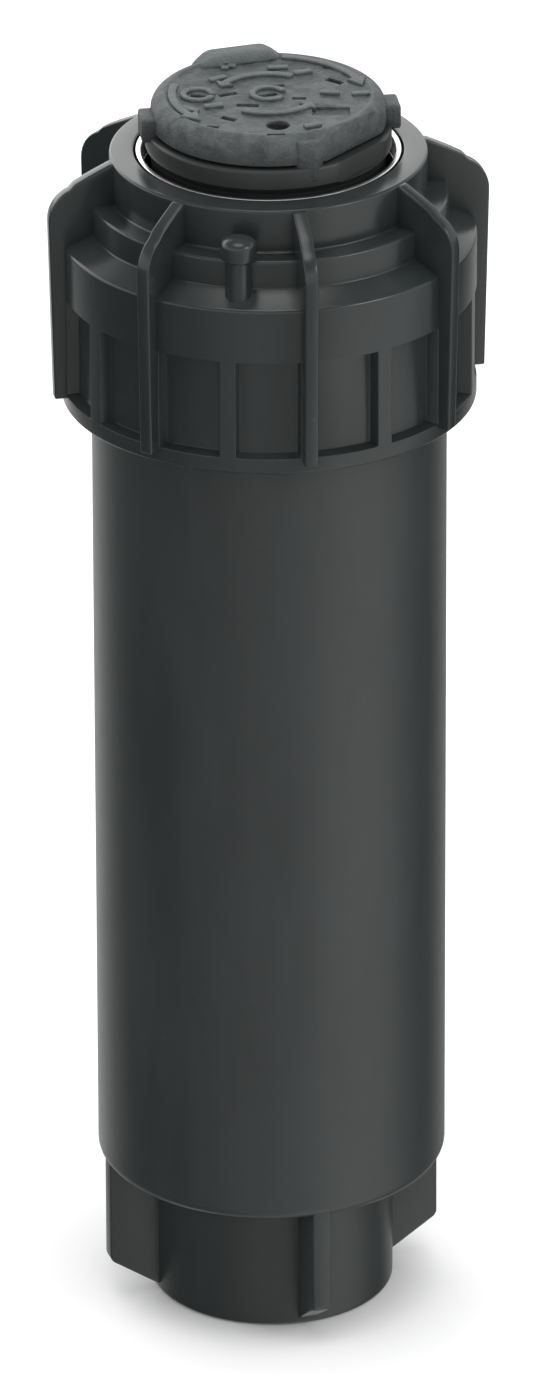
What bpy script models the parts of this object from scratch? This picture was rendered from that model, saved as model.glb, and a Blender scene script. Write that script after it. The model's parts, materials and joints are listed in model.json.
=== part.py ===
"""A gear-driven pop-up garden sprinkler, as an assembly of its separate pieces.

Units are metres, +Z is up, and the origin is the middle of the inlet boss's lower face.
The riser is shown fully retracted, as it stands in the ground between waterings.
"""

import math

import bmesh
import bpy
from mathutils import Matrix

# ---- driving dimensions ----
OVERALL_HEIGHT = 0.1912
BODY_R = 0.02572
BODY_WALL = 0.00265
BOSS_R = 0.0180
BOSS_DROP = 0.0211
INLET_R = 0.0126
CAP_PLANE = 0.1816
CAP_SKIRT_R = 0.0300
CAP_RIB_R = 0.03225
POST_CENTRE_R = 0.0267
RISER_R = 0.0169
RISER_WALL = 0.0016
TURRET_FLANGE_R = 0.0177
RADIUS_SCREW_R = 0.0120
GAP = 0.0003

# ---- heights worked out from them ----
CASE_FLOOR = BOSS_DROP + 0.0029
CASE_RIM = CAP_PLANE - 0.0156
CAP_LEDGE = CAP_PLANE - 0.0064
CAP_SHOULDER = CAP_PLANE - 0.0106
CAP_SKIRT_TOP = CAP_PLANE - 0.0133
POCKET_TOP = CAP_PLANE - 0.0206
POCKET_FOOT = CAP_PLANE - 0.0358
CAP_FOOT = CAP_PLANE - 0.0380
CASE_BORE = BODY_R - BODY_WALL
RISER_BORE = RISER_R - RISER_WALL
RISER_FOOT = CASE_FLOOR + 0.0020
RISER_TOP = 0.1520
SPRING_FOOT = RISER_FOOT + 0.0063
SPRING_TOP = 0.1597
COVER_FOOT = CAP_PLANE + 0.0040
COVER_TOP = CAP_PLANE + 0.0083
COVER_R = 0.0169
NOZZLE_AXIS_HEIGHT = 0.1652

# ---- directions round the axis, in degrees from the front, positive to the right ----
RIB_TURN = 11.0
RIB_COUNT = 8
RIB_THICK = 0.0020
FIN_TURN = 17.0
FIN_COUNT = 4
NOZZLE_TURN = 52.0
NOZZLE_RISE = 25.0
ARC_SET_TURN = 7.0
TRIP_TURN = -120.0
KEY_RIB_TURN = 45.0
POST_TURN = -9.3
TAB_TURN = 98.0

# ---- gear train ----
GEAR_MODULE = 0.000427
PINION_TEETH = 9
WHEEL_TEETH = 21
GEAR_CENTRES = GEAR_MODULE * (PINION_TEETH + WHEEL_TEETH) / 2
GEAR_FOOT = 0.0735
WHEEL_FACE = 0.0030
PINION_FACE = 0.0070
GEAR_STEP = 0.0060
PIN_R = 0.0007
SPINDLE_R = 0.0050
ARC_MODULE = 0.00075
ARC_RING_TEETH = 22
ARC_PINION_TEETH = 8
ARC_CENTRES = ARC_MODULE * (ARC_RING_TEETH + ARC_PINION_TEETH) / 2
TRIP_R = 0.0142
TRIP_ROD_R = 0.0006


def clear_scene():
    for thing in list(bpy.data.objects):
        bpy.data.objects.remove(thing, do_unlink=True)


def collection(name):
    group = bpy.data.collections.new(name)
    bpy.context.scene.collection.children.link(group)
    return group


clear_scene()
PARTS = collection("pop_up_sprinkler")
CUTTERS = collection("cutters")


def material(name, colour, roughness, metallic=0.0):
    made = bpy.data.materials.new(name)
    made.use_nodes = True
    shader = made.node_tree.nodes["Principled BSDF"]
    shader.inputs["Base Color"].default_value = (*colour, 1.0)
    shader.inputs["Roughness"].default_value = roughness
    shader.inputs["Metallic"].default_value = metallic
    return made


BLACK_PLASTIC = material("black_plastic", (0.030, 0.033, 0.032), 0.42)
CAP_PLASTIC = material("cap_plastic", (0.034, 0.037, 0.037), 0.38)
GREY_RUBBER = material("grey_rubber", (0.105, 0.115, 0.122), 0.78)
BLACK_RUBBER = material("black_rubber", (0.020, 0.020, 0.021), 0.70)
BRIGHT_STEEL = material("bright_steel", (0.72, 0.72, 0.73), 0.22, 1.0)
SPRING_STEEL = material("spring_steel", (0.50, 0.50, 0.52), 0.30, 1.0)
WHITE_ACETAL = material("white_acetal", (0.78, 0.77, 0.73), 0.40)
GREY_PLASTIC = material("grey_plastic", (0.22, 0.23, 0.25), 0.45)
NOZZLE_PLASTIC = material("nozzle_plastic", (0.05, 0.09, 0.20), 0.35)


def turn(azimuth):
    """Rotation about Z that carries +X to a direction counted from the front."""
    return Matrix.Rotation(math.radians(azimuth - 90.0), 4, "Z")


def spot(radius, azimuth, height):
    angle = math.radians(azimuth)
    return radius * math.sin(angle), -radius * math.cos(angle), height


def put(thing, group, paint=None, smooth=35.0):
    group.objects.link(thing)
    if paint:
        thing.data.materials.clear()
        thing.data.materials.append(paint)
    if group is CUTTERS:
        thing.hide_render = True
        thing.display_type = "WIRE"
    elif smooth and thing.type == "MESH":
        thing.data.shade_smooth()
        thing.data.set_sharp_from_angle(angle=math.radians(smooth))
    return thing


def turned(name, profile, group, paint=None, closed=True, steps=32):
    """A lathe shape: the profile's (radius, height) points run down its outer side."""
    mesh = bpy.data.meshes.new(name)
    count = len(profile)
    edges = [(i, i + 1) for i in range(count - 1)]
    if closed:
        edges.append((count - 1, 0))
    mesh.from_pydata([(radius, 0.0, height) for radius, height in profile], edges, [])
    thing = bpy.data.objects.new(name, mesh)
    lathe = thing.modifiers.new("lathe", "SCREW")
    lathe.steps = steps
    lathe.render_steps = steps
    lathe.use_merge_vertices = True
    lathe.merge_threshold = 0.00001
    group.objects.link(thing)
    mesh = baked(thing)
    bpy.data.objects.remove(thing, do_unlink=True)
    return put(bpy.data.objects.new(name, mesh), group, paint)


def baked(thing):
    """The mesh of an object as its modifiers leave it."""
    bpy.context.view_layer.update()
    scene_state = bpy.context.evaluated_depsgraph_get()
    return bpy.data.meshes.new_from_object(thing.evaluated_get(scene_state))


def plate(name, outlines, thickness, place=Matrix()):
    """A flat piece with the outlines' shape, centred on its own plane, then placed."""
    curve = bpy.data.curves.new(name, "CURVE")
    curve.dimensions = "2D"
    curve.fill_mode = "BOTH"
    curve.extrude = thickness / 2
    for outline in outlines:
        spline = curve.splines.new("POLY")
        spline.points.add(len(outline) - 1)
        spline.use_cyclic_u = True
        for point, (x, y) in zip(spline.points, outline):
            point.co = (x, y, 0.0, 1.0)
    flat = bpy.data.objects.new(name, curve)
    bpy.context.scene.collection.objects.link(flat)
    mesh = baked(flat)
    bpy.data.objects.remove(flat, do_unlink=True)
    shape = bmesh.new()
    shape.from_mesh(mesh)
    bmesh.ops.remove_doubles(shape, verts=shape.verts, dist=0.000002)
    bmesh.ops.recalc_face_normals(shape, faces=shape.faces)
    shape.transform(place)
    shape.to_mesh(mesh)
    shape.free()
    return mesh


def standing(azimuth):
    """Places a plate whose outline is (radius, height) upright along one direction."""
    return turn(azimuth) @ Matrix.Rotation(math.radians(90.0), 4, "X")


def joined(name, meshes, group, paint=None):
    """One object from several meshes."""
    shape = bmesh.new()
    for mesh in meshes:
        shape.from_mesh(mesh)
    merged = bpy.data.meshes.new(name)
    shape.to_mesh(merged)
    shape.free()
    return put(bpy.data.objects.new(name, merged), group, paint)


def block(name, size, place=Matrix()):
    """The mesh of a box."""
    shape = bmesh.new()
    bmesh.ops.create_cube(shape, size=1.0, matrix=place @ Matrix.Diagonal((*size, 1.0)))
    mesh = bpy.data.meshes.new(name)
    shape.to_mesh(mesh)
    shape.free()
    return mesh


def rod(name, radius, length, place=Matrix(), sides=20, far_radius=None):
    """The mesh of a cylinder or cone, centred on its own origin along Z."""
    shape = bmesh.new()
    far = radius if far_radius is None else far_radius
    bmesh.ops.create_cone(
        shape, cap_ends=True, segments=sides, radius1=radius, radius2=far, depth=length, matrix=place
    )
    mesh = bpy.data.meshes.new(name)
    shape.to_mesh(mesh)
    shape.free()
    return mesh


def boolean(thing, operation, tool):
    cut = thing.modifiers.new(tool.name, "BOOLEAN")
    cut.operation = operation
    cut.object = tool
    cut.solver = "EXACT"


def add(thing, tool):
    boolean(thing, "UNION", tool)


def cut(thing, tool):
    boolean(thing, "DIFFERENCE", tool)


def arc(centre_r, centre_z, radius, start, end, count):
    """Points round a fillet, by angle from +R towards +Z, in degrees."""
    angles = [math.radians(start + (end - start) * i / (count - 1)) for i in range(count)]
    return [(centre_r + radius * math.cos(a), centre_z + radius * math.sin(a)) for a in angles]


def gear_outline(module, teeth, phase):
    """Straight-flanked teeth with running clearance; phase turns the first tooth."""
    pitch_r = module * teeth / 2
    tip_r = pitch_r + 0.82 * module
    root_r = pitch_r - 1.10 * module
    pitch = 2 * math.pi / teeth
    points = []
    for tooth in range(teeth):
        middle = phase + tooth * pitch
        for radius, share in ((root_r, -0.285), (tip_r, -0.100), (tip_r, 0.100), (root_r, 0.285)):
            angle = middle + share * pitch
            points.append((radius * math.cos(angle), radius * math.sin(angle)))
    return points


def circle(radius, sides):
    return [
        (radius * math.cos(2 * math.pi * i / sides), radius * math.sin(2 * math.pi * i / sides))
        for i in range(sides)
    ]


def lift(height):
    return Matrix.Translation((0.0, 0.0, height))


# ---- outer case ----
def make_case():
    edge = 0.0020
    chamfer = 0.0006
    profile = [(CASE_BORE, CASE_RIM), (BODY_R, CASE_RIM)]
    profile += arc(BODY_R - edge, BOSS_DROP + edge, edge, 0, -90, 4)
    profile += [(BOSS_R, BOSS_DROP), (BOSS_R, chamfer), (BOSS_R - chamfer, 0.0)]
    profile += [(INLET_R + chamfer, 0.0), (INLET_R, chamfer), (INLET_R, 0.0165)]
    profile += [(0.0105, 0.0165), (0.0105, CASE_FLOOR)]
    profile += [(CASE_BORE - 0.001, CASE_FLOOR), (CASE_BORE, CASE_FLOOR + 0.001)]
    case = turned("body_case", profile, PARTS, BLACK_PLASTIC, steps=48)
    outline = [
        (0.0160, 0.0010),
        (BOSS_R, 0.0010),
        (0.0254, 0.0062),
        (0.0254, BOSS_DROP + 0.0014),
        (0.0160, BOSS_DROP + 0.0014),
    ]
    fins = [
        plate("fin", [outline], 0.0028, standing(FIN_TURN + 360.0 * i / FIN_COUNT))
        for i in range(FIN_COUNT)
    ]
    add(case, joined("boss_fins", fins, CUTTERS))
    key_top = SPRING_TOP - 0.0017
    key_foot = CASE_FLOOR + 0.0024
    keys = []
    for i in range(4):
        place = turn(KEY_RIB_TURN + 90.0 * i) @ Matrix.Translation(
            (CASE_BORE - 0.0002, 0.0, (key_top + key_foot) / 2)
        )
        keys.append(block("key", (0.0014, 0.0016, key_top - key_foot), place))
    add(case, joined("case_keys", keys, CUTTERS))


# ---- screw cap with its grip ribs ----
def make_cap():
    top_r = 0.0232
    wall_r = 0.0224
    ledge_r = 0.0259
    shoulder_r = 0.0280
    bore = BODY_R + 0.0006
    profile = [(0.0194, CAP_PLANE), (top_r - 0.0004, CAP_PLANE - 0.0004), (top_r, CAP_PLANE - 0.0009)]
    profile += [(wall_r, CAP_LEDGE), (ledge_r - 0.0004, CAP_LEDGE)]
    profile += [(ledge_r, CAP_LEDGE - 0.0004), (ledge_r, CAP_SHOULDER)]
    profile += [(shoulder_r, CAP_SHOULDER - 0.0009), (CAP_SKIRT_R - 0.0005, CAP_SKIRT_TOP + 0.0006)]
    profile += [(CAP_SKIRT_R, CAP_SKIRT_TOP), (CAP_SKIRT_R, POCKET_TOP)]
    profile += [(CAP_SKIRT_R - 0.0020, POCKET_TOP)]
    profile += [(CAP_SKIRT_R - 0.0020, POCKET_FOOT), (CAP_SKIRT_R, POCKET_FOOT)]
    profile += [(CAP_SKIRT_R, CAP_FOOT + 0.0003), (CAP_SKIRT_R - 0.0003, CAP_FOOT), (bore, CAP_FOOT)]
    profile += [(bore, CAP_PLANE - 0.0136), (wall_r + 0.0001, CAP_PLANE - 0.0136)]
    profile += [(0.0214, CAP_PLANE - 0.0056), (0.0180, CAP_PLANE - 0.0050)]
    profile += [(0.0180, CAP_PLANE - 0.0028), (0.0194, CAP_PLANE - 0.0028)]
    cap = turned("body_cap", profile, PARTS, CAP_PLASTIC, steps=48)
    bend = 0.0052
    fin = [(0.0216, CAP_PLANE - 0.0040), (0.0216, CAP_PLANE - 0.0006), (0.0232, CAP_PLANE - 0.0006)]
    fin += [(0.0264, CAP_PLANE - 0.0020), (0.0284, CAP_PLANE - 0.0031)]
    fin += arc(CAP_RIB_R - bend, CAP_PLANE - 0.0087, bend, 66, 0, 5)
    fin += [(CAP_RIB_R - 0.0006, CAP_FOOT + 0.0012), (CAP_SKIRT_R - 0.0030, CAP_FOOT + 0.0012)]
    fin += [(CAP_SKIRT_R - 0.0030, CAP_SKIRT_TOP - 0.002), (0.0245, CAP_SHOULDER + 0.0010)]
    fins = [
        plate("grip", [fin], RIB_THICK, standing(RIB_TURN + 360.0 * i / RIB_COUNT))
        for i in range(RIB_COUNT)
    ]
    add(cap, joined("grip_fins", fins, CUTTERS))
    middle = (POCKET_TOP + POCKET_FOOT) / 2
    height = POCKET_TOP - POCKET_FOOT + 0.0006
    bars = []
    for i in range(RIB_COUNT):
        place = turn(RIB_TURN + 360.0 * (i + 0.5) / RIB_COUNT)
        place = place @ Matrix.Translation((CAP_SKIRT_R - 0.0017, 0.0, middle))
        bars.append(block("bar", (0.0030, RIB_THICK, height), place))
    add(cap, joined("grip_bars", bars, CUTTERS))
    post_foot = CAP_PLANE - 0.0126
    neck = CAP_PLANE - 0.0063
    dome = CAP_PLANE - 0.0040
    post_top = CAP_PLANE - 0.0026
    post = []
    for low, high, near, far in (
        (post_foot, neck + 0.0001, 0.0018, 0.0018),
        (neck, dome + 0.0001, 0.0026, 0.0026),
        (dome, post_top, 0.0026, 0.0014),
    ):
        place = Matrix.Translation(spot(POST_CENTRE_R, POST_TURN, (low + high) / 2))
        post.append(joined("post", [rod("post", near, high - low, place, 14, far)], CUTTERS))
    for piece in post:
        add(cap, piece)


def make_trim_ring():
    top = CAP_PLANE - 0.0001
    foot = CAP_PLANE - 0.0025
    profile = [(0.0182, top - 0.0002), (0.0184, top), (0.0190, top), (0.0191, top - 0.0001)]
    profile += [(0.0191, foot), (0.0183, foot)]
    turned("trim_ring", profile, PARTS, BRIGHT_STEEL, steps=48)


def make_seals():
    seat = CASE_RIM + GAP
    profile = [(0.0183, seat + 0.0014), (0.0252, seat + 0.0014), (0.0252, seat), (0.0226, seat)]
    profile += [(0.0226, SPRING_TOP + GAP), (0.0183, SPRING_TOP + GAP)]
    turned("seal_retainer", profile, PARTS, GREY_PLASTIC)
    foot = seat + 0.0014 + GAP
    lip = CAP_PLANE - 0.0062
    profile = [(0.0173, lip), (0.0185, lip), (0.0209, lip - 0.0006), (0.0218, foot), (0.0184, foot)]
    profile += [(0.0184, lip - 0.0040)]
    turned("wiper_seal", profile, PARTS, BLACK_RUBBER)


# ---- return spring ----
def make_return_spring():
    wire = 0.0018
    coils = 11
    per_turn = 10
    mean_r = 0.0197
    low = SPRING_FOOT + wire / 2
    high = SPRING_TOP - wire / 2
    curve = bpy.data.curves.new("return_spring", "CURVE")
    curve.dimensions = "3D"
    curve.bevel_depth = wire / 2
    curve.bevel_resolution = 1
    curve.use_fill_caps = True
    spline = curve.splines.new("POLY")
    count = coils * per_turn + 1
    spline.points.add(count - 1)
    for i, point in enumerate(spline.points):
        share = i / (count - 1)
        angle = 2 * math.pi * coils * share
        pitch_share = min(max((share * coils - 0.6) / (coils - 1.2), 0.0), 1.0)
        height = low + (high - low) * (0.012 * share + 0.988 * pitch_share)
        point.co = (mean_r * math.cos(angle), mean_r * math.sin(angle), height, 1.0)
    wire_form = bpy.data.objects.new("spring_wire", curve)
    bpy.context.scene.collection.objects.link(wire_form)
    mesh = baked(wire_form)
    bpy.data.objects.remove(wire_form, do_unlink=True)
    shape = bmesh.new()
    shape.from_mesh(mesh)
    bmesh.ops.remove_doubles(shape, verts=shape.verts, dist=0.000002)
    shape.to_mesh(mesh)
    shape.free()
    put(bpy.data.objects.new("return_spring", mesh), PARTS, SPRING_STEEL, 60.0)


# ---- riser and what is fixed in it ----
def make_riser():
    flange = 0.0195
    profile = [(SPINDLE_R + 0.0004, RISER_TOP), (RISER_R - 0.0004, RISER_TOP)]
    profile += [(RISER_R, RISER_TOP - 0.0004), (RISER_R, RISER_FOOT + 0.0027)]
    profile += [(flange, RISER_FOOT + 0.0027), (flange, RISER_FOOT), (RISER_BORE, RISER_FOOT)]
    profile += [(RISER_BORE, RISER_TOP - 0.0050), (0.0100, RISER_TOP - 0.0030)]
    profile += [(SPINDLE_R + 0.0004, RISER_TOP - 0.0030)]
    riser = turned("riser_tube", profile, PARTS, BLACK_PLASTIC)
    place = Matrix.Translation(spot(TRIP_R, TRIP_TURN, RISER_TOP - 0.003))
    cut(riser, joined("trip_hole", [rod("hole", 0.0010, 0.012, place, 12)], CUTTERS))


def make_ratchet_ring():
    foot = RISER_FOOT + 0.0030
    top = SPRING_FOOT - GAP
    outer = CASE_BORE - GAP
    inner = RISER_R + GAP
    profile = [(inner, top), (outer, top), (outer, foot), (inner, foot)]
    ring = turned("ratchet_ring", profile, PARTS, WHITE_ACETAL)
    notches = []
    for i in range(4):
        place = turn(KEY_RIB_TURN + 90.0 * i) @ Matrix.Translation((outer, 0.0, (top + foot) / 2))
        notches.append(block("notch", (0.0022, 0.0024, 0.006), place))
    cut(ring, joined("key_notches", notches, CUTTERS))


def make_check_seal():
    top = RISER_FOOT - GAP
    foot = CASE_FLOOR + GAP
    profile = [(0.0112, top), (0.0150, top), (0.0150, foot + 0.0004), (0.0131, foot)]
    profile += [(0.0112, foot + 0.0004)]
    turned("check_seal", profile, PARTS, BLACK_RUBBER)


def make_inlet_screen():
    wall = 0.0010
    outer = 0.0096
    foot = CASE_FLOOR - 0.0060
    seat = 0.0440
    flange = RISER_BORE - GAP
    profile = [(0.0, foot + wall), (outer - wall, foot + wall), (outer - wall, seat), (flange, seat)]
    profile += [(flange, seat - 0.0015), (outer, seat - 0.0015), (outer, foot + 0.001)]
    profile += [(outer - 0.001, foot), (0.0, foot)]
    screen = turned("inlet_screen", profile, PARTS, GREY_PLASTIC, closed=False, steps=24)
    slots = []
    for i in range(6):
        place = turn(30.0 * i + 7.5) @ lift((foot + seat) / 2)
        slots.append(block("slot", (0.024, 0.0016, seat - foot - 0.0070), place))
    for slot in slots:
        cut(screen, joined("screen_slot", [slot], CUTTERS))


def make_stator():
    foot = 0.0470
    top = 0.0500
    outer = RISER_BORE - GAP
    profile = [(0.0013, top + 0.0030), (0.0030, top + 0.0030), (0.0030, top), (outer, top)]
    profile += [(outer, foot), (0.0013, foot)]
    stator = turned("stator", profile, PARTS, WHITE_ACETAL)
    ports = []
    for i in range(6):
        place = turn(TRIP_TURN + 30.0 + 60.0 * i) @ Matrix.Translation((0.0098, 0.0, (top + foot) / 2))
        place = place @ Matrix.Rotation(math.radians(28.0), 4, "X")
        ports.append(block("port", (0.0050, 0.0022, 0.0090), place))
    cut(stator, joined("stator_ports", ports, CUTTERS))


def make_gearbox():
    outer = 0.0132
    bore = 0.0121
    base_foot = GEAR_FOOT - 0.0035
    base_top = GEAR_FOOT - 0.0015
    lid_foot = GEAR_FOOT + 2 * GEAR_STEP + WHEEL_FACE + PINION_FACE + 0.0012
    profile = [(0.0013, base_top), (outer, base_top), (outer, base_foot), (0.0013, base_foot)]
    base = turned("gearbox_base", profile, PARTS, GREY_PLASTIC)
    legs = []
    for i in range(3):
        place = turn(TRIP_TURN + 60.0 + 120.0 * i)
        place = place @ Matrix.Translation((0.0139, 0.0, (base_top + base_foot) / 2))
        legs.append(block("leg", (0.0022, 0.0030, base_top - base_foot), place))
    add(base, joined("base_legs", legs, CUTTERS))
    profile = [(bore, lid_foot - GAP), (outer, lid_foot - GAP), (outer, base_top + GAP)]
    profile += [(bore, base_top + GAP)]
    turned("gearbox_shell", profile, PARTS, GREY_PLASTIC)
    lid_bore = SPINDLE_R + 0.0003
    profile = [(lid_bore, lid_foot + 0.0030), (outer - 0.001, lid_foot + 0.0030)]
    profile += [(outer, lid_foot + 0.0020), (outer, lid_foot), (lid_bore, lid_foot)]
    turned("gearbox_lid", profile, PARTS, GREY_PLASTIC)
    return base_top + GAP, lid_foot - GAP


def gear_axis(step):
    """Where each lay shaft stands: on a circle round the middle, 60 degrees apart."""
    angle = math.radians(60.0 * step)
    return GEAR_CENTRES * math.cos(angle), GEAR_CENTRES * math.sin(angle)


def make_gears(pin_foot, pin_top):
    pitch = 2 * math.pi / WHEEL_TEETH
    for step in range(3):
        x, y = gear_axis(step)
        turned_pin = rod("pin", PIN_R, pin_top - pin_foot, lift((pin_top + pin_foot) / 2), 12)
        pin = joined(f"gear_pin_{step + 1}", [turned_pin], PARTS, BRIGHT_STEEL)
        pin.location = (x, y, 0.0)
        came_from = (0.0, 0.0) if step == 0 else gear_axis(step - 1)
        goes_to = (0.0, 0.0) if step == 2 else gear_axis(step + 1)
        back = math.atan2(came_from[1] - y, came_from[0] - x)
        ahead = math.atan2(goes_to[1] - y, goes_to[0] - x)
        foot = GEAR_FOOT + step * GEAR_STEP
        bore = circle(PIN_R + 0.0002, 12)
        wheel_place = lift(foot + WHEEL_FACE / 2)
        teeth = [gear_outline(GEAR_MODULE, WHEEL_TEETH, back + pitch / 2), bore]
        wheel = plate("wheel", teeth, WHEEL_FACE, wheel_place)
        gear = joined(f"reduction_gear_{step + 1}", [wheel], PARTS, WHITE_ACETAL)
        overlap = 0.0004
        pinion_place = lift(foot + WHEEL_FACE + (PINION_FACE - overlap) / 2)
        teeth = [gear_outline(GEAR_MODULE, PINION_TEETH, ahead), bore]
        pinion = plate("pinion", teeth, PINION_FACE + overlap, pinion_place)
        tool = joined(f"pinion_{step + 1}", [pinion], CUTTERS)
        tool.parent = gear
        add(gear, tool)
        gear.location = (x, y, 0.0)


def make_turbine():
    foot = 0.0560
    top = 0.0640
    hub_r = 0.0034
    blade_r = 0.0122
    first = gear_axis(0)
    shaft_r = 0.0010
    shaft_top = GEAR_FOOT - 0.0007
    shaft_foot = 0.0485
    profile = [(0.0, shaft_top), (shaft_r, shaft_top), (shaft_r, top), (hub_r, top - 0.0004)]
    profile += [(hub_r, foot + 0.0004), (shaft_r, foot), (shaft_r, shaft_foot), (0.0, shaft_foot)]
    turbine = turned("turbine", profile, PARTS, WHITE_ACETAL, closed=False, steps=16)
    blades = []
    for i in range(10):
        place = turn(36.0 * i) @ lift((foot + top) / 2)
        place = place @ Matrix.Translation(((hub_r + blade_r) / 2 - 0.0004, 0.0, 0.0))
        place = place @ Matrix.Rotation(math.radians(35.0), 4, "X")
        blades.append(block("blade", (blade_r - hub_r + 0.0008, 0.0010, 0.0072), place))
    add(turbine, joined("turbine_blades", blades, CUTTERS))
    phase = math.atan2(first[1], first[0])
    face = WHEEL_FACE + 0.0010
    place = lift(GEAR_FOOT - 0.0010 + face / 2)
    pinion = plate("pinion", [gear_outline(GEAR_MODULE, PINION_TEETH, phase)], face, place)
    add(turbine, joined("turbine_pinion", [pinion], CUTTERS))


def make_spindle():
    wheel_foot = GEAR_FOOT + 3 * GEAR_STEP
    last = gear_axis(2)
    phase = math.atan2(last[1], last[0]) + math.pi / WHEEL_TEETH
    bore = 0.0034
    foot = wheel_foot + WHEEL_FACE + GAP
    floor = foot + 0.0090
    top = 0.1665
    place = lift(wheel_foot + WHEEL_FACE / 2)
    wheel = plate("wheel", [gear_outline(GEAR_MODULE, WHEEL_TEETH, phase)], WHEEL_FACE, place)
    joined("output_gear", [wheel], PARTS, WHITE_ACETAL)
    profile = [(0.0, floor), (bore, floor), (bore, top), (SPINDLE_R, top)]
    profile += [(SPINDLE_R, foot + 0.0045), (0.0030, foot + 0.0020), (0.0030, foot), (0.0, foot)]
    spindle = turned("drive_spindle", profile, PARTS, GREY_PLASTIC, closed=False, steps=24)
    windows = []
    for i in range(2):
        place = turn(90.0 * i) @ lift(RISER_TOP - 0.0150)
        windows.append(block("window", (0.014, 0.0030, 0.0140), place))
    for window in windows:
        cut(spindle, joined("flow_window", [window], CUTTERS))


# ---- trip rod and its flow shutter ----
def make_trip():
    x, y, _ = spot(TRIP_R, TRIP_TURN, 0.0)
    foot = 0.0503
    top = RISER_TOP + 0.0013
    shaft = rod("trip_rod", TRIP_ROD_R, top - foot, lift((top + foot) / 2), 12)
    trip = joined("trip_rod", [shaft], PARTS, BRIGHT_STEEL)
    trip.location = (x, y, 0.0)
    inward = math.radians(TRIP_TURN + 90.0)
    facing = Matrix.Rotation(inward, 4, "Z")
    for name, height, length, width in (
        ("trip_lever", RISER_TOP + 0.0009, 0.0042, 0.0018),
        ("flow_shutter", 0.0512, 0.0070, 0.0040),
    ):
        hub = 0.00092
        outline = [(0.0, -hub), (length, -width / 2), (length, width / 2), (0.0, hub)]
        outline += [(-0.7 * hub, 0.7 * hub), (-hub, 0.0), (-0.7 * hub, -0.7 * hub)]
        arm_mesh = plate(name, [outline, circle(TRIP_ROD_R + 0.0001, 12)], 0.0010, facing @ lift(height))
        arm = joined(name, [arm_mesh], PARTS, WHITE_ACETAL)
        arm.location = (x, y, 0.0)


# ---- turret, nozzle and adjusters ----
def nozzle_frame():
    """Origin on the main axis, +Z along the jet."""
    rise = Matrix.Rotation(math.radians(90.0 - NOZZLE_RISE), 4, "Y")
    return lift(NOZZLE_AXIS_HEIGHT) @ turn(NOZZLE_TURN) @ rise


def make_turret():
    flange_top = COVER_FOOT - GAP
    foot = RISER_TOP + 0.0019
    profile = [(0.0, flange_top), (0.0171, flange_top), (TURRET_FLANGE_R, flange_top - 0.0006)]
    profile += [(TURRET_FLANGE_R, CAP_PLANE + 0.0008), (RISER_R, CAP_PLANE - 0.0002), (RISER_R, foot)]
    profile += [(SPINDLE_R + GAP, foot), (SPINDLE_R + GAP, foot + 0.0020), (RISER_BORE, foot + 0.0020)]
    profile += [(RISER_BORE, flange_top - 0.0056), (0.0, flange_top - 0.0036)]
    turret = turned("turret_housing", profile, PARTS, BLACK_PLASTIC, closed=False)
    bore = nozzle_frame() @ lift(0.0155)
    cut(turret, joined("nozzle_bore", [rod("bore", 0.0046, 0.012, bore, 20)], CUTTERS))
    holes = []
    for radius, azimuth, size in ((ARC_CENTRES, ARC_SET_TURN, 0.0021), (RADIUS_SCREW_R, NOZZLE_TURN, 0.0016)):
        place = Matrix.Translation(spot(radius, azimuth, flange_top - 0.003))
        holes.append(rod("hole", size, 0.010, place, 16))
    cut(turret, joined("adjuster_holes", holes, CUTTERS))


def make_nozzle():
    back = 0.0074
    front = 0.0163
    outer = 0.0043
    profile = [(0.0020, front), (outer - 0.0003, front), (outer, front - 0.0003), (outer, back)]
    profile += [(outer - 0.0008, back), (0.0030, back + 0.0010)]
    nozzle = turned("nozzle", profile, PARTS, NOZZLE_PLASTIC, steps=20)
    nozzle.matrix_world = nozzle_frame()


def make_adjusters():
    x, y, _ = spot(ARC_CENTRES, ARC_SET_TURN, 0.0)
    foot = RISER_TOP + 0.0045
    face = 0.0030
    top = COVER_FOOT - 0.0008
    towards = math.atan2(-y, -x)
    ring_pitch = 2 * math.pi / ARC_RING_TEETH
    place = lift(foot + face / 2)
    ring_tooth = gear_outline(ARC_MODULE, ARC_RING_TEETH, math.atan2(y, x) + ring_pitch / 2)
    ring = plate("arc_ring", [ring_tooth, circle(SPINDLE_R + GAP, 20)], face, place)
    joined("arc_ring", [ring], PARTS, WHITE_ACETAL)
    pinion = plate("arc_pinion", [gear_outline(ARC_MODULE, ARC_PINION_TEETH, towards)], face, place)
    key = joined("arc_set_shaft", [pinion], PARTS, WHITE_ACETAL)
    stem = rod("stem", 0.0017, top - foot - face / 2, lift((top + foot + face / 2) / 2), 16)
    tool = joined("arc_stem", [stem], CUTTERS)
    slot = joined("key_slot", [block("slot", (0.0026, 0.0009, 0.0030), lift(top))], CUTTERS)
    for piece in (tool, slot):
        piece.parent = key
    add(key, tool)
    cut(key, slot)
    key.location = (x, y, 0.0)
    x, y, _ = spot(RADIUS_SCREW_R, NOZZLE_TURN, 0.0)
    screw_foot = CAP_PLANE - 0.0042
    screw_top = COVER_FOOT - 0.0007
    shank = rod("shank", 0.0012, screw_top - screw_foot, lift((screw_top + screw_foot) / 2), 14)
    screw = joined("radius_screw", [shank], PARTS, BRIGHT_STEEL)
    slot = joined("screw_slot", [block("slot", (0.0030, 0.0006, 0.0014), lift(screw_top))], CUTTERS)
    slot.parent = screw
    cut(screw, slot)
    screw.location = (x, y, 0.0)


def make_thrust_washer():
    foot = RISER_TOP + GAP
    top = RISER_TOP + 0.0019 - GAP
    profile = [(SPINDLE_R + GAP, top), (0.0086, top), (0.0086, foot), (SPINDLE_R + GAP, foot)]
    turned("thrust_washer", profile, PARTS, WHITE_ACETAL, steps=24)


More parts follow.
